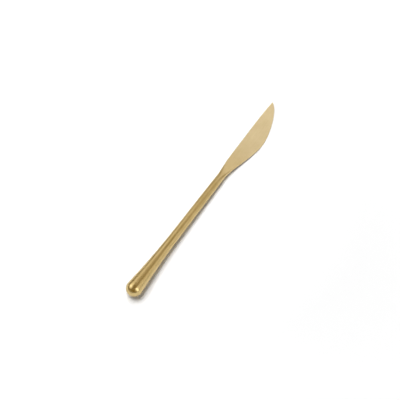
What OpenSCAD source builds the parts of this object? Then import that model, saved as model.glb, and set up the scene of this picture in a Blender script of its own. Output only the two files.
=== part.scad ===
// Dessert knife with a hollow handle: a forged blade whose tang is cemented into two pressed
// half shells. The slim round handle swells to a drop-shaped end, and the neck flattens into
// a leaf-shaped blade with a nearly straight spine and a curved cutting edge.
//
// Each piece is drawn along its own axis, which runs along +X from the drop-shaped end at 0 to
// the tip. +Y is the side of the spine, -Y the side of the cutting edge. The finished knife is
// then laid on a table at z = 0, with its middle over the origin.

/* [Overall] */
// Length from the drop-shaped end of the handle to the tip of the blade
knife_len = 205; // [185:1:240]

/* [Handle] */
// Length of the pressed handle, from its drop-shaped end to its mouth
handle_len = 114; // [95:1:125]
// Radius of the drop-shaped end
drop_r = 6.3; // [4.5:0.1:8]
// Angle at which the flank leaves the drop, in degrees
flare_angle = 4.9; // [2:0.1:6]
// Reach of the flare, from the drop towards the grip
flare_reach = 38; // [15:1:45]
// Reach of the slim grip, from the mouth back towards the flare
grip_reach = 56; // [20:1:60]
// Taper of the grip towards the mouth, in degrees
grip_taper = 0.6; // [0:0.1:1.5]
// Outer radius at the mouth
mouth_r = 3.2; // [2.8:0.05:4]
// Thickness of the pressed sheet
wall = 0.8; // [0.5:0.05:0.9]

/* [Blade] */
// Length of the round neck between the handle and the blade
neck_len = 7.5; // [4:0.5:14]
// Radius of the neck where the blade begins
neck_r = 3.1; // [2.4:0.05:4]
// Distance along which the grinding runs out from the flat of the blade to the round neck
runout_len = 18; // [10:1:30]
// Distance from the neck to the widest place of the blade
belly_at = 45; // [35:1:55]
// Depth of the cutting edge below the axis, at the widest place
belly_drop = 11.1; // [8:0.1:15]
// Reach of the hollow curve that leads from the neck into the cutting edge
heel_reach = 13; // [5:1:20]
// Reach of the cutting edge's curve before the widest place
belly_reach = 16; // [8:1:24]
// Reach of the cutting edge's curve past the widest place
sweep_reach = 10; // [5:1:18]
// Angle at which the cutting edge meets the axis at the tip, in degrees
tip_angle = 63; // [30:1:70]
// Reach of the cutting edge's curve at the tip
tip_reach = 8.5; // [5:0.5:14]
// Height of the spine above the axis
spine_rise = 4.3; // [3:0.1:7]
// Distance from the neck along which the spine rises
spine_at = 24; // [20:1:40]
// Height of the tip above the axis
tip_rise = 3.7; // [0:0.1:4.4]
// Angle at which the spine falls to the tip, in degrees
tip_fall = 5.5; // [2:0.5:12]
// Thickness of the blade at the spine, where the run-out ends
heel_t = 1.9; // [1.4:0.1:3]
// Thickness of the blade at the tip
tip_t = 1.2; // [0.8:0.1:2]
// Thickness of the blade at the cutting edge, at the widest place
edge_t = 0.6; // [0.4:0.05:1]

/* [Tang] */
// Length of the spigot that centres the blade in the mouth of the handle
spigot_len = 6; // [3:0.5:12]
// Gap all round the spigot
spigot_gap = 0.05; // [0.02:0.01:0.1]
// Length of the tang behind the spigot
tang_len = 36; // [20:1:50]
// Radius of the tang beside the spigot
tang_r = 1.6; // [1.2:0.05:1.8]
// Radius of the tang at its end
tang_end_r = 1.3; // [1:0.05:1.6]
// Number of grooves that key the tang into the cement
groove_count = 4; // [2:1:6]
// Width of one groove
groove_w = 2; // [1:0.1:3]
// Depth of one groove
groove_depth = 0.35; // [0.2:0.05:0.5]

/* [Joining] */
// Width of the brazed seam between the two half shells
seam_w = 0.4; // [0.2:0.05:0.8]
// Width of the brazed ring between the handle and the neck
collar_w = 0.4; // [0.2:0.05:0.8]
// Length of the cement past the end of the tang
cement_past = 8; // [3:1:15]

/* [Hidden] */

gold = [0.83, 0.70, 0.44];
braze_gold = [0.80, 0.66, 0.38];
cement_grey = [0.62, 0.60, 0.56];

// Steps along the drop, the flank, each curve of the blade, the blade itself, the run-out
// of the grinding and round a section
drop_steps = 14;
flank_steps = 24;
curve_steps = 24;
blade_steps = 40;
runout_steps = 12;
ring_points = 40;

// Places along the axis
spigot_at = handle_len - spigot_len;
tang_end_at = spigot_at - tang_len;
cement_end_at = tang_end_at - cement_past;
shoulder_at = handle_len + collar_w;
blade_at = shoulder_at + neck_len;
flat_at = blade_at + runout_len;
widest_at = blade_at + belly_at;

// A point on a cubic Bezier curve, and the whole curve as a line of points
function bezier(p, t) =
    p[0] * pow(1 - t, 3) + 3 * p[1] * t * pow(1 - t, 2) + 3 * p[2] * t * t * (1 - t) + p[3] * pow(t, 3);
function curve(p, steps) = [for (i = [0:steps]) bezier(p, i / steps)];

function reversed(list) = [for (i = [len(list) - 1:-1:0]) list[i]];
function last_of(list) = list[len(list) - 1];

// Handle: an arc round the drop, then one curve along the flank to the mouth, as [place, radius].
// The inset moves the whole line in from the outer surface.
function drop_arc(inset) = [
    for (i = [0:drop_steps - 1])
        let (turn = 180 - (90 + flare_angle) * i / drop_steps)
            [drop_r, 0] + (drop_r - inset) * [cos(turn), sin(turn)]
];
function flank(inset) =
    let (
        start = [drop_r, 0] + (drop_r - inset) * [sin(flare_angle), cos(flare_angle)],
        mouth = [handle_len, mouth_r - inset / cos(grip_taper)]
    )
    [
        start,
        start + flare_reach * [cos(flare_angle), -sin(flare_angle)],
        mouth + grip_reach * [-cos(grip_taper), sin(grip_taper)],
        mouth
    ];
function handle_line(inset) = concat(drop_arc(inset), curve(flank(inset), flank_steps));

bore_line = handle_line(wall);
wall_outline = concat(handle_line(0), reversed(bore_line));
spigot_r = last_of(bore_line)[1] - spigot_gap;

// Tang, with its grooves spaced evenly between its end and the spigot, as [place, radius]
function tang_radius(place) =
    tang_end_r + (tang_r - tang_end_r) * (place - tang_end_at) / tang_len;
groove_pitch = tang_len / (groove_count + 1);
tang_line = concat(
    [[tang_end_at, tang_end_r]],
    [
        for (i = [1:groove_count])
            let (
                from = tang_end_at + i * groove_pitch - groove_w / 2,
                to = from + groove_w
            )
            each [
                [from, tang_radius(from)],
                [from, tang_radius(from) - groove_depth],
                [to, tang_radius(to) - groove_depth],
                [to, tang_radius(to)]
            ]
    ],
    [[spigot_at, tang_r]]
);

// Outline of the blade: how far the cutting edge and the spine lie from the axis
edge_line = concat(
    curve([
        [blade_at, neck_r],
        [blade_at + heel_reach, neck_r],
        [widest_at - belly_reach, belly_drop],
        [widest_at, belly_drop]
    ], curve_steps),
    curve([
        [widest_at, belly_drop],
        [widest_at + sweep_reach, belly_drop],
        [knife_len, -tip_rise] + tip_reach * [-cos(tip_angle), sin(tip_angle)],
        [knife_len, -tip_rise]
    ], curve_steps)
);
spine_top_at = blade_at + spine_at;
spine_line = concat(
    curve([
        [blade_at, neck_r],
        [blade_at + spine_at / 4, neck_r],
        [spine_top_at - spine_at / 2, spine_rise],
        [spine_top_at, spine_rise]
    ], curve_steps),
    curve([
        [spine_top_at, spine_rise],
        [(2 * spine_top_at + knife_len) / 3, spine_rise],
        [knife_len, tip_rise] + (knife_len - spine_top_at) / 4 * [-cos(tip_fall), sin(tip_fall)],
        [knife_len, tip_rise]
    ], curve_steps)
);

// Each flank of the blade is ground to one plane, set by the half thickness at the heel, the tip
// and the cutting edge
tip_run = [knife_len - flat_at, tip_rise - spine_rise];
edge_run = [widest_at - flat_at, -belly_drop - spine_rise];
tip_thins = (tip_t - heel_t) / 2;
edge_thins = (edge_t - heel_t) / 2;
flank_turn = cross(tip_run, edge_run);
slope_along = (tip_thins * edge_run[1] - edge_thins * tip_run[1]) / flank_turn;
slope_across = (tip_run[0] * edge_thins - edge_run[0] * tip_thins) / flank_turn;
function half_thickness(place, side) =
    heel_t / 2 + slope_along * (place - flat_at) + slope_across * (side - spine_rise);

// The wheel that grinds a flank leaves it along an arc, which meets the neck where the blade begins
runout_rise = neck_r - half_thickness(flat_at, 0);
wheel_r = (pow(runout_len, 2) + pow(runout_rise, 2)) / (2 * runout_rise);
wheel_turn = acos(1 - 2 * runout_rise / wheel_r);

// One section across the forging before it is ground: a circle at the neck, an oval further on
function oval_middle(place) = (lookup(place, spine_line) - lookup(place, edge_line)) / 2;
function oval_half(place) = (lookup(place, spine_line) + lookup(place, edge_line)) / 2;
function oval_ring(place) = [
    for (i = [0:ring_points - 1])
        let (turn = 360 * i / ring_points)
            [place, oval_middle(place) + oval_half(place) * cos(turn), neck_r * sin(turn)]
];
function round_ring(place, radius) = [
    for (i = [0:ring_points - 1])
        let (turn = 360 * i / ring_points) [place, radius * cos(turn), radius * sin(turn)]
];

tang_rings = [for (p = tang_line) round_ring(p[0], p[1])];
shoulder_rings = [
    round_ring(spigot_at, spigot_r),
    round_ring(shoulder_at, spigot_r),
    round_ring(shoulder_at, mouth_r)
];
// Sections lie closer together towards the tip, which is a point of its own
blade_places = [
    for (i = [0:blade_steps - 1]) blade_at + (knife_len - blade_at) * sin(90 * i / blade_steps)
];
blade_rings = [for (place = blade_places) oval_ring(place)];
tip_point = [knife_len, tip_rise, 0];

// A closed skin over a row of sections that ends in a point
module loft(rings, point) {
    n = len(rings[0]);
    last = len(rings) - 1;
    skin = [
        for (r = [0:last - 1], i = [0:n - 1])
            let (a = r * n + i, b = r * n + (i + 1) % n)
                each [[a, a + n, b], [b, a + n, b + n]]
    ];
    end_fan = [for (i = [0:n - 1]) [last * n + i, (last + 1) * n, last * n + (i + 1) % n]];
    polyhedron(
        points = concat([for (ring = rings) each ring], [point]),
        faces = concat([[for (i = [0:n - 1]) i]], skin, end_fan)
    );
}

// A body of revolution about the axis, from an outline of [place, radius]
module revolve(outline) {
    rotate([0, 90, 0])
        rotate_extrude($fn = 96)
            polygon([for (p = outline) [p[1], p[0]]]);
}

// Resting on a table: the knife tips until the drop and the end of the neck touch it, then rolls
// towards its cutting edge until that touches too. The corners are the lines along which the lower
// flank meets the cutting edge and the spine.
function corner(place, way) =
    let (
        side = oval_middle(place) + way * oval_half(place),
        height = half_thickness(place, side)
    )
    [place, side - way * oval_half(place) * (1 - sqrt(1 - pow(height / neck_r, 2))), -height];
corner_places = concat([for (place = blade_places) if (place > flat_at) place], [knife_len]);
corners = [for (place = corner_places, way = [-1, 1]) corner(place, way)];

function tip_down(place, depth) =
    let (run = place - drop_r) asin(drop_r / norm([run, depth])) - atan2(depth, run);
rest_pitch = min(
    tip_down(blade_at, neck_r),
    min([for (p = corners) tip_down(p[0], -p[2])])
);
drop_height = drop_r * (1 + sin(rest_pitch));
function table_below(place) = drop_height / cos(rest_pitch) - place * tan(rest_pitch);
function roll_down(p) =
    let (reach = norm([p[1], p[2]]), below = table_below(p[0]))
        p[1] < 0 && below < reach ? asin(below / reach) - atan2(-p[2], -p[1]) : 90;
rest_roll = max(0, min([for (p = corners) roll_down(p)]));

function rolled(p) = [
    p[0],
    p[1] * cos(rest_roll) - p[2] * sin(rest_roll),
    p[1] * sin(rest_roll) + p[2] * cos(rest_roll)
];
far_x = knife_len * cos(rest_pitch) + rolled(tip_point)[2] * sin(rest_pitch);
near_x = drop_r * cos(rest_pitch) - drop_r;
far_y = max(drop_r, max([for (p = corners) rolled(p)[1]]));
near_y = min(-drop_r, min([for (p = corners) rolled(p)[1]]));

module lying() {
    translate([-(far_x + near_x) / 2, -(far_y + near_y) / 2, drop_height])
        rotate([rest_roll, rest_pitch, 0])
            children();
}

// Everything the wheel takes off above the upper flank: the plane, then the arc of the run-out
module ground_off() {
    clear = 2 * neck_r;
    far = knife_len - flat_at + clear;
    arc = [
        for (i = [1:runout_steps])
            let (turn = wheel_turn * i / runout_steps) wheel_r * [-sin(turn), 1 - cos(turn)]
    ];
    tilt_along = -atan(slope_along);
    translate([flat_at, spine_rise, heel_t / 2])
        rotate([atan(slope_across * cos(tilt_along)), tilt_along, 0])
            translate([0, 2 * belly_drop, 0])
                rotate([90, 0, 0])
                    linear_extrude(4 * belly_drop)
                        polygon(concat([[0, 0]], arc, [[last_of(arc)[0], clear], [far, clear], [far, 0]]));
}

// Forged in one piece, tang, spigot, neck and blade, and ground flat on both flanks
module blade() {
    color(gold) lying()
        difference() {
            loft(concat(tang_rings, shoulder_rings, blade_rings), tip_point);
            ground_off();
            mirror([0, 0, 1]) ground_off();
        }
}

// Half of the pressed shell, on the side of +Z or of -Z
module handle_half(side) {
    half_box = [handle_len + 2 * drop_r, 4 * drop_r, 2 * drop_r];
    color(gold) lying()
        intersection() {
            revolve(wall_outline);
            translate([-drop_r, -2 * drop_r, side > 0 ? seam_w / 2 : -seam_w / 2 - 2 * drop_r])
                cube(half_box);
        }
}

module handle_half_upper() {
    handle_half(1);
}

module handle_half_lower() {
    handle_half(-1);
}

// The braze that joins the halves, one hairpin that runs up one side and down the other
module seam_braze() {
    outer = handle_line(0);
    color(braze_gold) lying()
        linear_extrude(seam_w, center = true)
            polygon(concat(
                reversed(outer),
                [for (i = [1:len(outer) - 1]) [outer[i][0], -outer[i][1]]],
                [for (i = [len(bore_line) - 1:-1:1]) [bore_line[i][0], -bore_line[i][1]]],
                bore_line
            ));
}

// The braze between the mouth of the handle and the shoulder of the neck
module collar_braze() {
    color(braze_gold) lying()
        translate([handle_len, 0, 0])
            rotate([0, 90, 0])
                difference() {
                    cylinder(h = collar_w, r = mouth_r, $fn = 96);
                    translate([0, 0, -collar_w])
                        cylinder(h = 3 * collar_w, r = spigot_r + spigot_gap, $fn = 96);
                }
}

// The cement fills the bore round the tang, and stops short of the drop
module tang_cement() {
    fill_line = concat(
        [[cement_end_at, lookup(cement_end_at, bore_line)]],
        [for (p = bore_line) if (p[0] > cement_end_at && p[0] < spigot_at) p],
        [[spigot_at, lookup(spigot_at, bore_line)]]
    );
    color(cement_grey) lying()
        difference() {
            revolve(concat([[cement_end_at, 0]], fill_line, [[spigot_at, 0]]));
            revolve(concat([[tang_end_at, 0]], tang_line, [[shoulder_at, tang_r], [shoulder_at, 0]]));
        }
}

blade();
handle_half_upper();
handle_half_lower();
seam_braze();
collar_braze();
tang_cement();
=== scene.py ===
"""Looks of the dessert knife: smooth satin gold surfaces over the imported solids, on a white studio floor.

Sizes are in millimetres along the knife's own axis, as in its construction: `place` runs from the drop-shaped
end of the handle at 0 to the tip, `side` is positive towards the spine, and `height` is across the flanks.
lay_down() turns a finished surface into the pose in which the knife lies on the table, in metres.
"""
import math

import bmesh
import bpy
import numpy as np
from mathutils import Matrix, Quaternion, Vector


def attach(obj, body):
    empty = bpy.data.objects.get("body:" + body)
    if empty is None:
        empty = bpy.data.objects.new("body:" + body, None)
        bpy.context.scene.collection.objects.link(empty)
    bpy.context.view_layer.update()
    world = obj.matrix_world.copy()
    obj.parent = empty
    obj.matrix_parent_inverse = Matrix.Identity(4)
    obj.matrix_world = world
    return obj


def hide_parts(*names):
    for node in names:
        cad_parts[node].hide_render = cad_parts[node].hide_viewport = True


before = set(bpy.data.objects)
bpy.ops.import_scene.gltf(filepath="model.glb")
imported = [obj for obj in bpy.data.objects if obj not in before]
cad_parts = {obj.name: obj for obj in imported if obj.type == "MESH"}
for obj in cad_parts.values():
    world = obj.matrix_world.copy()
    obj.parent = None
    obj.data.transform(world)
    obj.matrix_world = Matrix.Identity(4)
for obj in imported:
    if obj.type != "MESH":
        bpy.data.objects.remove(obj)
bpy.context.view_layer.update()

# Sizes of the knife
KNIFE_LEN = 205.0
HANDLE_LEN, DROP_R, MOUTH_R, WALL = 114.0, 6.3, 3.2, 0.8
FLARE_ANGLE, FLARE_REACH = math.radians(4.9), 38.0
GRIP_TAPER, GRIP_REACH = math.radians(0.6), 56.0
NECK_LEN, NECK_R, RUNOUT_LEN = 7.5, 3.1, 18.0
BELLY_AT, BELLY_DROP = 45.0, 11.1
HEEL_REACH, BELLY_REACH, SWEEP_REACH = 13.0, 16.0, 10.0
TIP_ANGLE, TIP_REACH, TIP_RISE, TIP_FALL = math.radians(63), 8.5, 3.7, math.radians(5.5)
SPINE_RISE, SPINE_AT = 4.3, 24.0
HEEL_T, TIP_T, EDGE_T = 1.9, 1.2, 0.6
SPIGOT_LEN, SPIGOT_GAP = 6.0, 0.05
TANG_LEN, TANG_R, TANG_END_R = 36.0, 1.6, 1.3
GROOVE_COUNT, GROOVE_W, GROOVE_DEPTH = 4, 2.0, 0.35
SEAM_W, COLLAR_W = 0.4, 0.4

# Polishing takes this much off every outer surface
POLISH = 0.045
# Rounding where a ground flank meets the forged skin: everywhere, and what the run-out adds to it. The
# cutting edge is spared a share of what is added.
CRISP_EDGE, SOFT_RUNOUT, SPARED_EDGE = 0.06, 0.35, 0.85
# Burnish: the place where it ends past the drop, the length over which it fades, its width along the blade
DROP_RUB_END, DROP_RUB_FADE, OUTLINE_RUB = 17.0, 10.0, 0.5

# Steps round the drop, along the flank and round a half shell
DROP_STEPS, FLANK_STEPS, SHELL_STEPS = 60, 150, 120
# Points across the seam and across the collar, and round the collar
SEAM_POINTS, COLLAR_POINTS, COLLAR_RING = 7, 5, 240
# Steps along each curve of the blade, rows along the neck and the blade, points round a section
CURVE_STEPS, NECK_ROWS, BLADE_ROWS, BLADE_RING = 200, 24, 240, 200
# How far rows crowd towards the tip, and points towards the spine and the edge
TIP_CROWDING, SIDE_CROWDING = 1.6, 0.4
# Sections of the solid blade, from whose corners the resting pose is worked out
RESTING_SECTIONS = 40
# Points closer than the first are one point, and edges shorter than the second are dropped, in metres
MERGE_DISTANCE, LEAST_EDGE = 1e-8, 1e-9
# Angles between faces, in degrees, past which an edge stays sharp
SHELL_CREASE, BLADE_CREASE = 40, 60

SPIGOT_AT = HANDLE_LEN - SPIGOT_LEN
TANG_END_AT = SPIGOT_AT - TANG_LEN
SHOULDER_AT = HANDLE_LEN + COLLAR_W
BLADE_AT = SHOULDER_AT + NECK_LEN
FLAT_AT = BLADE_AT + RUNOUT_LEN
WIDEST_AT = BLADE_AT + BELLY_AT
BORE_R = MOUTH_R - WALL / math.cos(GRIP_TAPER)
SPIGOT_R = BORE_R - SPIGOT_GAP


def bezier(corners, steps):
    """Points on a cubic Bezier curve: its corners weighted by (1-t)^3, 3t(1-t)^2, 3t^2(1-t) and t^3."""
    t = np.linspace(0, 1, steps + 1)[:, None]
    p = np.asarray(corners, float)
    return p[0] * (1 - t) ** 3 + 3 * p[1] * t * (1 - t) ** 2 + 3 * p[2] * t * t * (1 - t) + p[3] * t ** 3


def handle_line(inset):
    """Half profile of the handle as [place, radius]: an arc round the drop, then one curve to the mouth.

    It starts where the radius is half the seam's width, because that is where a half shell begins.
    """
    radius = DROP_R - inset
    first = math.asin(SEAM_W / 2 / radius)
    turn = np.linspace(first, math.pi / 2 + FLARE_ANGLE, DROP_STEPS, endpoint=False)
    drop = np.stack([DROP_R - radius * np.cos(turn), radius * np.sin(turn)], 1)
    start = np.array([DROP_R + radius * math.sin(FLARE_ANGLE), radius * math.cos(FLARE_ANGLE)])
    mouth = np.array([HANDLE_LEN, MOUTH_R - inset / math.cos(GRIP_TAPER)])
    flank = bezier([
        start,
        start + FLARE_REACH * np.array([math.cos(FLARE_ANGLE), -math.sin(FLARE_ANGLE)]),
        mouth + GRIP_REACH * np.array([-math.cos(GRIP_TAPER), math.sin(GRIP_TAPER)]),
        mouth,
    ], FLANK_STEPS)
    return np.vstack([drop, flank])


def blade_lines(steps):
    """The cutting edge and the spine as [place, distance from the axis], each of two Bezier curves."""
    tip_low, tip_high = np.array([KNIFE_LEN, -TIP_RISE]), np.array([KNIFE_LEN, TIP_RISE])
    edge = np.vstack([
        bezier([[BLADE_AT, NECK_R], [BLADE_AT + HEEL_REACH, NECK_R],
                [WIDEST_AT - BELLY_REACH, BELLY_DROP], [WIDEST_AT, BELLY_DROP]], steps)[:-1],
        bezier([[WIDEST_AT, BELLY_DROP], [WIDEST_AT + SWEEP_REACH, BELLY_DROP],
                tip_low + TIP_REACH * np.array([-math.cos(TIP_ANGLE), math.sin(TIP_ANGLE)]),
                tip_low], steps),
    ])
    top = BLADE_AT + SPINE_AT
    spine = np.vstack([
        bezier([[BLADE_AT, NECK_R], [BLADE_AT + SPINE_AT / 4, NECK_R],
                [top - SPINE_AT / 2, SPINE_RISE], [top, SPINE_RISE]], steps)[:-1],
        bezier([[top, SPINE_RISE], [(2 * top + KNIFE_LEN) / 3, SPINE_RISE],
                tip_high + (KNIFE_LEN - top) / 4 * np.array([-math.cos(TIP_FALL), math.sin(TIP_FALL)]),
                tip_high], steps),
    ])
    return edge, spine


EDGE_LINE, SPINE_LINE = blade_lines(CURVE_STEPS)


def oval(place):
    """Middle and half width of the blade at a place: half the difference and half the sum of its lines."""
    edge = np.interp(place, EDGE_LINE[:, 0], EDGE_LINE[:, 1])
    spine = np.interp(place, SPINE_LINE[:, 0], SPINE_LINE[:, 1])
    return (spine - edge) / 2, (spine + edge) / 2


# Slopes of the ground flank: the plane through the half thickness at the heel, the tip and the edge
FLANK_SLOPES = np.linalg.solve(
    [[KNIFE_LEN - FLAT_AT, TIP_RISE - SPINE_RISE], [WIDEST_AT - FLAT_AT, -BELLY_DROP - SPINE_RISE]],
    [(TIP_T - HEEL_T) / 2, (EDGE_T - HEEL_T) / 2],
)


def half_thickness(place, side):
    """Height of the ground plane: half the heel's thickness, plus each slope times the way from the heel."""
    return HEEL_T / 2 + FLANK_SLOPES[0] * (place - FLAT_AT) + FLANK_SLOPES[1] * (side - SPINE_RISE)


def ground_height(place, side):
    """The ground plane, and before it the arc of radius r along which the wheel leaves the flank.

    At distance d before the plane the arc has risen by r - sqrt(r^2 - d^2). It reaches the neck's radius
    where the blade begins, and d stops at the far end of the neck.
    """
    rise = NECK_R - half_thickness(FLAT_AT, 0.0)
    wheel_r = (RUNOUT_LEN ** 2 + rise ** 2) / (2 * rise)
    back = np.clip(FLAT_AT - place, 0, FLAT_AT - SHOULDER_AT)
    return half_thickness(place, side) + wheel_r - np.sqrt(wheel_r ** 2 - back ** 2)


def resting_pose():
    """Pitch and roll at which the knife lies on the table, and the shift that puts it there.

    The drop, of radius r, and a point past it both touch the table at the pitch
    asin(r / d) - atan(depth / run), with d the distance from the drop's centre. The least pitch over the
    blade's corners and the end of the neck is the one that holds. The roll is found in the same way, as the
    angle at which the cutting edge comes down to the table from the height of the knife's axis.
    """
    turn = np.arange(RESTING_SECTIONS) * math.pi / 2 / RESTING_SECTIONS
    place = np.append(BLADE_AT + (KNIFE_LEN - BLADE_AT) * np.sin(turn), KNIFE_LEN)
    place = place[place > FLAT_AT]
    middle, half = oval(place)
    low, high = middle - half, middle + half
    depth = np.concatenate([half_thickness(place, low), half_thickness(place, high)])
    crown = np.tile(half, 2) * (1 - np.sqrt(1 - (depth / NECK_R) ** 2))
    side = np.concatenate([low, high]) + crown * np.repeat([1, -1], len(place))
    place = np.tile(place, 2)
    run = np.append(place, BLADE_AT) - DROP_R
    deep = np.append(depth, NECK_R)
    pitch = np.min(np.arcsin(DROP_R / np.hypot(run, deep)) - np.arctan2(deep, run))
    lift = DROP_R * (1 + math.sin(pitch))
    below = lift / math.cos(pitch) - place * math.tan(pitch)
    reach = np.hypot(side, depth)
    touch = (side < 0) & (below < reach)
    roll = np.min(np.arcsin(below[touch] / reach[touch]) - np.arctan2(depth[touch], -side[touch]))
    across = side * math.cos(roll) + depth * math.sin(roll)
    far_x = KNIFE_LEN * math.cos(pitch) + TIP_RISE * math.sin(roll) * math.sin(pitch)
    near_x = DROP_R * math.cos(pitch) - DROP_R
    shift = np.array([
        -(far_x + near_x) / 2,
        -(max(DROP_R, across.max()) + min(-DROP_R, across.min())) / 2,
        lift,
    ])
    return pitch, roll, shift


PITCH, ROLL, SHIFT = resting_pose()


def lay_down(points):
    """Rolls about the knife's axis, pitches about Y, shifts to the table and turns millimetres to metres."""
    x, y, z = points[..., 0], points[..., 1], points[..., 2]
    y, z = y * math.cos(ROLL) - z * math.sin(ROLL), y * math.sin(ROLL) + z * math.cos(ROLL)
    x, z = x * math.cos(PITCH) + z * math.sin(PITCH), z * math.cos(PITCH) - x * math.sin(PITCH)
    return (np.stack([x, y, z], -1) + SHIFT) / 1000


def grid_faces(rows, columns, round_columns=False, round_rows=False):
    """Four-cornered faces between the neighbours of a grid, closed round its columns or its rows if asked."""
    index = np.arange(rows * columns).reshape(rows, columns)
    if round_columns:
        index = np.hstack([index, index[:, :1]])
    if round_rows:
        index = np.vstack([index, index[:1]])
    return np.stack([index[:-1, :-1], index[:-1, 1:], index[1:, 1:], index[1:, :-1]], -1).reshape(-1, 4)


def even_turn(count):
    """Angles of points that are spaced evenly round the axis."""
    return np.arange(count) * 2 * math.pi / count


def sweep(line, turn):
    """Rings of points about the axis: each [place, r] of the line at r cos(angle) and r sin(angle)."""
    place = np.broadcast_to(line[:, :1], (len(line), len(turn)))
    return np.stack([place, line[:, 1:] * np.cos(turn), line[:, 1:] * np.sin(turn)], -1)


def piece(name, points, faces, rub, replaced, slot, material, crease=SHELL_CREASE):
    """Makes a closed mesh of points and faces, with doubles merged and its faces pointing outwards.

    rub is 1 at the points that handling has burnished and 0 where the satin finish is whole.
    """
    mesh = bpy.data.meshes.new(name)
    mesh.from_pydata(lay_down(points.reshape(-1, 3)).tolist(), [], faces.tolist())
    mesh.attributes.new("rub", "FLOAT", "POINT").data.foreach_set("value", np.ravel(rub).astype(np.float32))
    work = bmesh.new()
    work.from_mesh(mesh)
    bmesh.ops.remove_doubles(work, verts=work.verts, dist=MERGE_DISTANCE)
    bmesh.ops.dissolve_degenerate(work, edges=work.edges, dist=LEAST_EDGE)
    bmesh.ops.recalc_face_normals(work, faces=work.faces)
    work.to_mesh(mesh)
    work.free()
    mesh.shade_smooth()
    mesh.set_sharp_from_angle(angle=math.radians(crease))
    obj = bpy.data.objects.new(name, mesh)
    bpy.context.scene.collection.objects.link(obj)
    mesh.materials.append(material)
    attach(obj, "root")
    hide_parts(replaced)


def drop_rub(place):
    """Burnish of the drop, which the palm rubs: 1 over its ball, falling evenly to 0 along the flare."""
    return np.clip((DROP_RUB_END - place) / DROP_RUB_FADE, 0, 1)


def half_shell(way):
    """Half of the pressed shell: its wall's closed outline swept from one seam face to the other.

    At radius r the sweep starts at asin(seam / 2r), so both seam faces are flat. They are the strips that
    join the outer line to the inner one at the first and the last angle.
    """
    outer, inner = handle_line(POLISH), handle_line(WALL)
    line = np.vstack([outer, inner[::-1]])
    first = np.arcsin(np.clip(SEAM_W / 2 / line[:, 1], 0, 1))[:, None]
    turn = first + (math.pi - 2 * first) * np.linspace(0, 1, SHELL_STEPS + 1)
    points = np.stack([
        np.broadcast_to(line[:, :1], turn.shape),
        line[:, 1:] * np.cos(turn),
        way * line[:, 1:] * np.sin(turn),
    ], -1)
    rows, columns = turn.shape
    wall = grid_faces(rows, columns, round_rows=True)
    along = np.arange(len(outer) - 1)
    strip = np.stack([along, along + 1, rows - 2 - along, rows - 1 - along], 1) * columns
    return points, np.vstack([wall, strip, strip + columns - 1]), drop_rub(points[..., 0])


def seam_hairpin():
    """The braze between the halves: a closed section carried along the hairpin of the handle's outline.

    At height z above the seam's middle the surface of radius r lies at sqrt(r^2 - z^2) from the axis.
    """
    height = np.linspace(-SEAM_W / 2, SEAM_W / 2, SEAM_POINTS)
    rings = []
    for inset, heights in ((POLISH, height), (WALL, height[::-1])):
        line = handle_line(inset)
        end = np.array([[line[0, 0], 0.0]])
        hairpin = np.vstack([line[::-1], end, line * [1, -1]])
        place, side = hairpin[:, :1], hairpin[:, 1:]
        across = np.sign(side) * np.sqrt(np.maximum(side ** 2 - heights ** 2, 0))
        shape = across.shape
        rings.append(np.stack([np.broadcast_to(place, shape), across, np.broadcast_to(heights, shape)], -1))
    points = np.concatenate(rings, 1)
    rows, columns = points.shape[:2]
    faces = grid_faces(rows, columns, round_columns=True)
    step = np.arange(SEAM_POINTS - 1)
    cap = np.stack([step, step + 1, columns - 2 - step, columns - 1 - step], 1)
    return points, np.vstack([faces, cap, cap + (rows - 1) * columns]), drop_rub(points[..., 0])


def collar_ring():
    """The braze at the mouth: a four-cornered section swept once round the axis."""
    place = np.linspace(HANDLE_LEN, SHOULDER_AT, COLLAR_POINTS)
    line = np.vstack([
        np.stack([place, np.full(COLLAR_POINTS, MOUTH_R - POLISH)], 1),
        np.stack([place[::-1], np.full(COLLAR_POINTS, BORE_R)], 1),
    ])
    faces = grid_faces(len(line), COLLAR_RING, round_columns=True, round_rows=True)
    return sweep(line, even_turn(COLLAR_RING)), faces, np.zeros((len(line), COLLAR_RING))


def tang_line():
    """Tang and spigot up to the shoulder as [place, radius], with square grooves evenly along the tang."""
    pitch = TANG_LEN / (GROOVE_COUNT + 1)
    start = TANG_END_AT + pitch * np.arange(1, GROOVE_COUNT + 1) - GROOVE_W / 2
    place = np.stack([start, start, start + GROOVE_W, start + GROOVE_W], 1)
    radius = TANG_END_R + (TANG_R - TANG_END_R) * (place - TANG_END_AT) / TANG_LEN
    radius = radius - np.array([0, GROOVE_DEPTH, GROOVE_DEPTH, 0])
    grooves = np.stack([place.ravel(), radius.ravel()], 1)
    ends = [[SPIGOT_AT, TANG_R], [SPIGOT_AT, SPIGOT_R], [SHOULDER_AT, SPIGOT_R]]
    return np.vstack([[[TANG_END_AT, 0], [TANG_END_AT, TANG_END_R]], grooves, ends])


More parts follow.
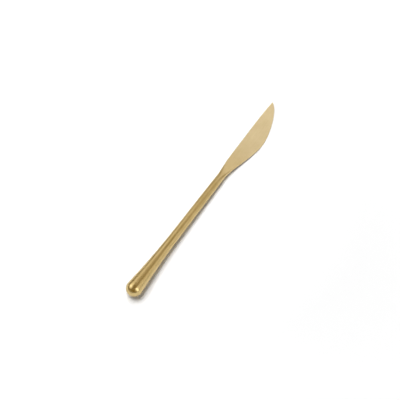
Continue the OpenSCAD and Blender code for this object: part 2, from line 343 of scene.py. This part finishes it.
def forged_blade():
    """Tang, neck and blade in one skin of sections, which ends in an upright line at the tip.

    Round a section the angle runs as t - c sin 2t, so points crowd along the spine and the edge. The skin's
    height is the lesser of the forged oval, r sin(angle), and the ground height, rounded where they cross:
    with a the lesser and b the greater, a (1 + (a / b)^(1 / s))^-s. The rounding s swells along the run-out,
    which polishing has softened, as exp(-d^2) at d half run-outs from its middle, and less towards the
    cutting edge. The burnish falls off from the outline as exp(-(distance / width)^2).
    """
    t = even_turn(BLADE_RING)
    turn = t - SIDE_CROWDING * np.sin(2 * t)
    tang = tang_line()
    neck = np.linspace(SHOULDER_AT, BLADE_AT, NECK_ROWS, endpoint=False)
    along = 1 - (1 - np.linspace(0, 1, BLADE_ROWS)) ** TIP_CROWDING
    blade = BLADE_AT + (KNIFE_LEN - POLISH - BLADE_AT) * along
    place = np.concatenate([neck, blade])[:, None]
    middle, half = oval(place)
    forged_r = np.interp(place, [SHOULDER_AT, BLADE_AT], [MOUTH_R, NECK_R])
    half = np.where(place < BLADE_AT, forged_r, half)
    half, forged_r = np.maximum(half - POLISH, 0), forged_r - POLISH
    half[-1] = 0
    side = middle + half * np.cos(turn)
    forged = forged_r * np.abs(np.sin(turn))
    ground = ground_height(place, side)
    on_runout = np.exp(-((place - BLADE_AT) * 2 / RUNOUT_LEN - 1) ** 2)
    towards_edge = np.clip(-np.cos(turn), 0, 1)
    soft = CRISP_EDGE + SOFT_RUNOUT * on_runout * (1 - SPARED_EDGE * towards_edge ** 2)
    less, more = np.minimum(forged, ground), np.maximum(forged, ground)
    height = less * (1 + (less / more) ** (1 / soft)) ** -soft
    skin = np.stack([np.broadcast_to(place, side.shape), side, np.sign(np.sin(turn)) * height], -1)
    points = np.concatenate([sweep(tang, turn), skin])
    to_outline = (half - np.abs(side - middle)) / OUTLINE_RUB
    on_blade = np.clip((place - BLADE_AT) / RUNOUT_LEN, 0, 1)
    rub = np.concatenate([np.zeros((len(tang), BLADE_RING)), on_blade * np.exp(-to_outline ** 2)])
    return points, grid_faces(len(points), BLADE_RING, round_columns=True), rub


# Deep and pale tone of the coating, of the ground flanks and of the cement; the flanks' paler gold is a
# painted highlight that makes them brighter and whiter than the handle
GOLD = (0.535, 0.397, 0.158), (0.632, 0.485, 0.236)
FLANK_PAINTED_HIGHLIGHT_GOLD = (0.605, 0.488, 0.272), (0.70, 0.582, 0.356)
CEMENT_GREY = (0.24, 0.23, 0.20), (0.46, 0.44, 0.40)
# X in metres between which the flanks' painted highlight gold comes in
PAINTED_HIGHLIGHT_SPAN = 0.008, 0.054
# Spots of the mottle and grains of the cement in a metre
MOTTLE_SIZE, GRIT_SIZE = 130.0, 900.0
# Part of the tone that the mottle and the lines each give, and how far the lines move the roughness
TONE_SHARE, ROUGHNESS_SWING = 0.5, 0.05
CEMENT_ROUGHNESS, CEMENT_BUMP = (0.8, 0.95), 0.5
# Depth of the brush lines and of the cement's pits, in metres
LINE_DEPTH, PIT_DEPTH = 0.00002, 0.0002
# Values between which a noise mostly lies
NOISE_LOW, NOISE_HIGH = 0.3, 0.7


def add_node(tree, kind, **values):
    """A new node with its plain properties set, and its inputs by name."""
    node = tree.nodes.new(kind)
    for key, value in values.pop("inputs", {}).items():
        node.inputs[key].default_value = value
    for key, value in values.items():
        setattr(node, key, value)
    return node


def combine(tree, operation, first, second, **values):
    """The result of an arithmetic operation on two outputs."""
    node = add_node(tree, "ShaderNodeMath", operation=operation, **values)
    tree.links.new(first, node.inputs[0])
    tree.links.new(second, node.inputs[1])
    return node.outputs[0]


def axis_part(tree, vector, axis):
    """One of the three parts of a vector."""
    node = add_node(tree, "ShaderNodeSeparateXYZ")
    tree.links.new(vector, node.inputs[0])
    return node.outputs[axis]


def map_range(tree, value, low, high, start=NOISE_LOW, end=NOISE_HIGH):
    """A value between start and end, spread over low to high."""
    node = add_node(tree, "ShaderNodeMapRange", clamp=True)
    for key, number in (("From Min", start), ("From Max", end), ("To Min", low), ("To Max", high)):
        node.inputs[key].default_value = number
    tree.links.new(value, node.inputs["Value"])
    return node.outputs["Result"]


def mix_colour(tree, factor, first, second):
    """The first colour at factor 0, the second at 1; each is a plain colour or a node's output."""
    node = add_node(tree, "ShaderNodeMix", data_type="RGBA")
    tree.links.new(factor, node.inputs["Factor"])
    for key, colour in (("A", first), ("B", second)):
        if isinstance(colour, tuple):
            node.inputs[key].default_value = (*colour, 1)
        else:
            tree.links.new(colour, node.inputs[key])
    return node.outputs["Result"]


def raise_surface(tree, height, strength, depth):
    """Feeds the shader's normal from a height."""
    bump = add_node(tree, "ShaderNodeBump", inputs={"Strength": strength, "Distance": depth})
    tree.links.new(height, bump.inputs["Height"])
    tree.links.new(bump.outputs["Normal"], tree.nodes["Principled BSDF"].inputs["Normal"])


def new_material(name):
    """A new material, its nodes, its shader's inputs and the output that gives a point's own place."""
    material = bpy.data.materials.new(name)
    material.use_nodes = True
    tree = material.node_tree
    own_place = add_node(tree, "ShaderNodeTexCoord").outputs["Object"]
    return material, tree, tree.nodes["Principled BSDF"].inputs, own_place


def satin_grain():
    """Node group: fine brush lines along the knife, and a soft mottling of the coating.

    Line length, line width and mottle size are how often the noise repeats in a metre: along the knife,
    across it, and in every direction.
    """
    group = bpy.data.node_groups.new("satin_grain", "ShaderNodeTree")
    group.interface.new_socket("Vector", in_out="INPUT", socket_type="NodeSocketVector")
    for name in ("Line length", "Line width", "Mottle size"):
        group.interface.new_socket(name, in_out="INPUT", socket_type="NodeSocketFloat")
    for name in ("Lines", "Mottle"):
        group.interface.new_socket(name, in_out="OUTPUT", socket_type="NodeSocketFloat")
    source, result = group.nodes.new("NodeGroupInput"), group.nodes.new("NodeGroupOutput")
    link = group.links.new
    stretch = add_node(group, "ShaderNodeCombineXYZ")
    link(source.outputs["Line length"], stretch.inputs["X"])
    link(source.outputs["Line width"], stretch.inputs["Y"])
    link(source.outputs["Line width"], stretch.inputs["Z"])
    drawn = add_node(group, "ShaderNodeVectorMath", operation="MULTIPLY")
    link(source.outputs["Vector"], drawn.inputs[0])
    link(stretch.outputs[0], drawn.inputs[1])
    lines = add_node(group, "ShaderNodeTexNoise", inputs={"Scale": 1.0, "Detail": 5.0, "Roughness": 0.65})
    link(drawn.outputs[0], lines.inputs["Vector"])
    mottle = add_node(group, "ShaderNodeTexNoise", inputs={"Detail": 4.0, "Roughness": 0.55})
    link(source.outputs["Vector"], mottle.inputs["Vector"])
    link(source.outputs["Mottle size"], mottle.inputs["Scale"])
    link(lines.outputs[0], result.inputs["Lines"])
    link(mottle.outputs[0], result.inputs["Mottle"])
    return group


GRAIN = satin_grain()


def satin_gold(name, rough, burnished, line_length, line_width, bump, flank=None):
    """Gold-coated satin steel: mottled between two golds, with roughness and bump from the brush lines.

    The roughness goes from rough to burnished with the piece's own rub. flank gives the two paler golds of
    the ground flanks, a painted highlight that makes them brighter and whiter than the handle, and they come
    in along the run-out from the neck.
    """
    material, tree, shader, own_place = new_material(name)
    shader["Metallic"].default_value = 1.0
    grain = add_node(tree, "ShaderNodeGroup", node_tree=GRAIN)
    grain.inputs["Line length"].default_value = line_length
    grain.inputs["Line width"].default_value = line_width
    grain.inputs["Mottle size"].default_value = MOTTLE_SIZE
    tree.links.new(own_place, grain.inputs["Vector"])
    lines, mottle = grain.outputs["Lines"], grain.outputs["Mottle"]
    spots, streaks = map_range(tree, mottle, 0, TONE_SHARE), map_range(tree, lines, 0, TONE_SHARE)
    tone = combine(tree, "ADD", spots, streaks, use_clamp=True)
    colour = mix_colour(tree, tone, *GOLD)
    # The paler flank golds are painted highlight, mixed in along X over the run-out
    if flank:
        ground = map_range(tree, axis_part(tree, own_place, "X"), 0, 1, *PAINTED_HIGHLIGHT_SPAN)
        colour = mix_colour(tree, ground, colour, mix_colour(tree, tone, *flank))
    tree.links.new(colour, shader["Base Color"])
    rub = add_node(tree, "ShaderNodeAttribute", attribute_name="rub").outputs["Fac"]
    worn = map_range(tree, rub, rough, burnished, 0, 1)
    swing = map_range(tree, lines, -ROUGHNESS_SWING, ROUGHNESS_SWING)
    tree.links.new(combine(tree, "ADD", worn, swing), shader["Roughness"])
    raise_surface(tree, lines, bump, LINE_DEPTH)
    return material


def cement():
    """Matt mineral cement: grey, grained, with fine pits."""
    material, tree, shader, own_place = new_material("cutlery_cement")
    noise = add_node(tree, "ShaderNodeTexNoise", inputs={"Scale": GRIT_SIZE, "Detail": 6.0})
    tree.links.new(own_place, noise.inputs["Vector"])
    grit = noise.outputs[0]
    tree.links.new(mix_colour(tree, map_range(tree, grit, 0, 1), *CEMENT_GREY), shader["Base Color"])
    tree.links.new(map_range(tree, grit, *CEMENT_ROUGHNESS), shader["Roughness"])
    raise_surface(tree, grit, CEMENT_BUMP, PIT_DEPTH)
    return material


handle_gold = satin_gold(
    "handle_satin_gold", rough=0.31, burnished=0.25, line_length=40, line_width=2000, bump=0.25)
# The blade's gold carries the painted highlight of its ground flanks
blade_gold = satin_gold(
    "blade_satin_gold_painted_flank_highlight", rough=0.36, burnished=0.26, line_length=30, line_width=1500, bump=0.3,
    flank=FLANK_PAINTED_HIGHLIGHT_GOLD)

piece("handle_shell_upper", *half_shell(1), "handle_half_upper", "gold_steel", handle_gold)
piece("handle_shell_lower", *half_shell(-1), "handle_half_lower", "gold_steel", handle_gold)
piece("handle_seam", *seam_hairpin(), "seam_braze", "gold_braze", handle_gold)
piece("mouth_collar", *collar_ring(), "collar_braze", "gold_braze", handle_gold)
piece("forged_blade", *forged_blade(), "blade", "gold_steel", blade_gold, crease=BLADE_CREASE)

cement_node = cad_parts["tang_cement"]
cement_node.data.materials.clear()
cement_node.data.materials.append(cement())

# Floor: its width and height in metres, and the share of light that it throws back
FLOOR_SIZE, FLOOR_AT, FLOOR_WHITE = 12.0, -0.00002, 0.92
# Its glow beside the knife and far off, and the distances in metres between which it rises
GLOW, GLOW_REACH = (0.08, 0.9), (0.12, 0.9)
# Room: its light on the floor, and the background that the camera sees
ROOM_ON_FLOOR, PALE_BACKGROUND = (0.11, 0.11, 0.11), (1, 1, 1)
# The walls that metal mirrors: at the horizon, and from where a direction rises by the last value upwards
LOW_WALL, HIGH_WALL, LOW_WALL_TOP = (0.11, 0.086, 0.041), (0.37, 0.288, 0.138), 0.25
# Lamps that the metal mirrors: their colour, and each one's place, aim and size in metres and its brightness
DAYLIGHT = (0.96, 1.01, 1.15)
SOFTBOXES = {
    "spine_side_sheet": ((-0.20, 0.66, 0.80), (-0.20, 0, 0), (1.6, 0.80), 1.05),
    "spine_side_softbox": ((-0.28, 0.62, 0.62), (-0.28, 0, 0), (0.38, 0.55), 0.9),
    "edge_side_sheet": ((0, -0.80, 0.50), (0, 0, 0), (1.2, 0.9), 0.78),
    "edge_side_softbox": ((-0.15, -0.72, 0.42), (-0.15, 0, 0), (0.30, 0.70), 1.7),
    "blade_softbox": ((0.345, 0.02, 0.415), (0.065, 0.02, 0), (0.24, 0.24), 1.14),
    "heel_softbox": ((0.498, 0.02, 0.25), (0.065, 0.02, 0), (0.24, 0.20), 0.48),
}
# Camera: degrees round from -Y and above the table, lean in radians, the point it faces and how far off it is
AZIMUTH, ELEVATION, LEAN = math.radians(-56.7), math.radians(60), 0.00145
AIM, DISTANCE = Vector((-0.006318, 0.004304, 0.002948)), 0.84966
LENS, SENSOR = 100, 36


def studio_floor():
    """A white floor that takes the knife's shadow.

    To the camera and in metal it also glows, more with distance, so that it stays pale past the lamp's reach.
    """
    mesh = bpy.data.meshes.new("studio_floor")
    corners = np.array([[-1, -1], [1, -1], [1, 1], [-1, 1]]) * FLOOR_SIZE / 2
    mesh.from_pydata(np.column_stack([corners, np.full(4, FLOOR_AT)]).tolist(), [], [[0, 1, 2, 3]])
    floor = bpy.data.objects.new("studio_floor", mesh)
    bpy.context.scene.collection.objects.link(floor)
    material = bpy.data.materials.new("white_floor")
    material.use_nodes = True
    tree = material.node_tree
    tree.nodes.clear()
    ray = add_node(tree, "ShaderNodeLightPath").outputs
    mirrored = combine(tree, "MAXIMUM", ray["Is Glossy Ray"], ray["Is Transmission Ray"])
    seen = combine(tree, "MAXIMUM", ray["Is Camera Ray"], mirrored)
    own_place = add_node(tree, "ShaderNodeTexCoord").outputs["Object"]
    distance = add_node(tree, "ShaderNodeVectorMath", operation="LENGTH")
    tree.links.new(own_place, distance.inputs[0])
    level = combine(tree, "MULTIPLY", seen, map_range(tree, distance.outputs["Value"], *GLOW, *GLOW_REACH))
    white = (FLOOR_WHITE, FLOOR_WHITE, FLOOR_WHITE, 1)
    matt = add_node(tree, "ShaderNodeBsdfDiffuse", inputs={"Color": white})
    glow = add_node(tree, "ShaderNodeEmission", inputs={"Color": (1, 1, 1, 1)})
    tree.links.new(level, glow.inputs["Strength"])
    both = add_node(tree, "ShaderNodeAddShader")
    tree.links.new(matt.outputs[0], both.inputs[0])
    tree.links.new(glow.outputs[0], both.inputs[1])
    surface = add_node(tree, "ShaderNodeOutputMaterial").inputs["Surface"]
    tree.links.new(both.outputs[0], surface)
    mesh.materials.append(material)


def room_light():
    """The room round the studio: dim on the floor, warm where metal mirrors it, pale to the camera.

    The walls that metal mirrors darken towards the horizon.
    """
    world = bpy.data.worlds.new("studio_room")
    bpy.context.scene.world = world
    world.use_nodes = True
    tree = world.node_tree
    direction = add_node(tree, "ShaderNodeTexCoord").outputs["Object"]
    height = map_range(tree, axis_part(tree, direction, "Z"), 0, 1, 0, LOW_WALL_TOP)
    walls = mix_colour(tree, height, LOW_WALL, HIGH_WALL)
    ray = add_node(tree, "ShaderNodeLightPath").outputs
    mirrored = mix_colour(tree, ray["Is Glossy Ray"], ROOM_ON_FLOOR, walls)
    shown = mix_colour(tree, ray["Is Camera Ray"], mirrored, PALE_BACKGROUND)
    tree.links.new(shown, tree.nodes["Background"].inputs["Color"])


def softbox(name, at, aim, size, brightness, colour=(1, 1, 1), on_floor=True, on_metal=True):
    """A rectangular lamp that faces a point. Its power is pi times its brightness times its area."""
    width, height = size
    lamp = bpy.data.lights.new(name, "AREA")
    lamp.shape = "RECTANGLE"
    lamp.size, lamp.size_y = width, height
    lamp.energy = brightness * math.pi * width * height
    lamp.color = colour
    obj = bpy.data.objects.new(name, lamp)
    obj.location = at
    obj.rotation_euler = (Vector(at) - Vector(aim)).to_track_quat("Z", "Y").to_euler()
    obj.visible_camera = False
    obj.visible_diffuse, obj.visible_glossy = on_floor, on_metal
    bpy.context.scene.collection.objects.link(obj)


def photo_camera():
    """A camera at the photograph's angle: azimuth and elevation give the direction in which it stands."""
    back = Vector((
        math.sin(AZIMUTH) * math.cos(ELEVATION),
        -math.cos(AZIMUTH) * math.cos(ELEVATION),
        math.sin(ELEVATION),
    ))
    camera = bpy.data.objects.new("photo_camera", bpy.data.cameras.new("photo_camera"))
    camera.data.lens, camera.data.sensor_width = LENS, SENSOR
    camera.location = AIM + DISTANCE * back
    camera.rotation_euler = (back.to_track_quat("Z", "Y") @ Quaternion((0, 0, 1), LEAN)).to_euler()
    bpy.context.scene.collection.objects.link(camera)
    bpy.context.scene.camera = camera


studio_floor()
room_light()
# This lamp lights the floor and throws the shadow, and the metal mirrors the others
softbox("overhead_lamp", at=(0, 0.30, 0.95), aim=(0, 0, 0), size=(0.9, 0.60), brightness=7.1, on_metal=False)
for lamp_name, lamp_values in SOFTBOXES.items():
    softbox(lamp_name, *lamp_values, colour=DAYLIGHT, on_floor=False)
photo_camera()
bpy.context.scene.view_settings.view_transform = "Standard"
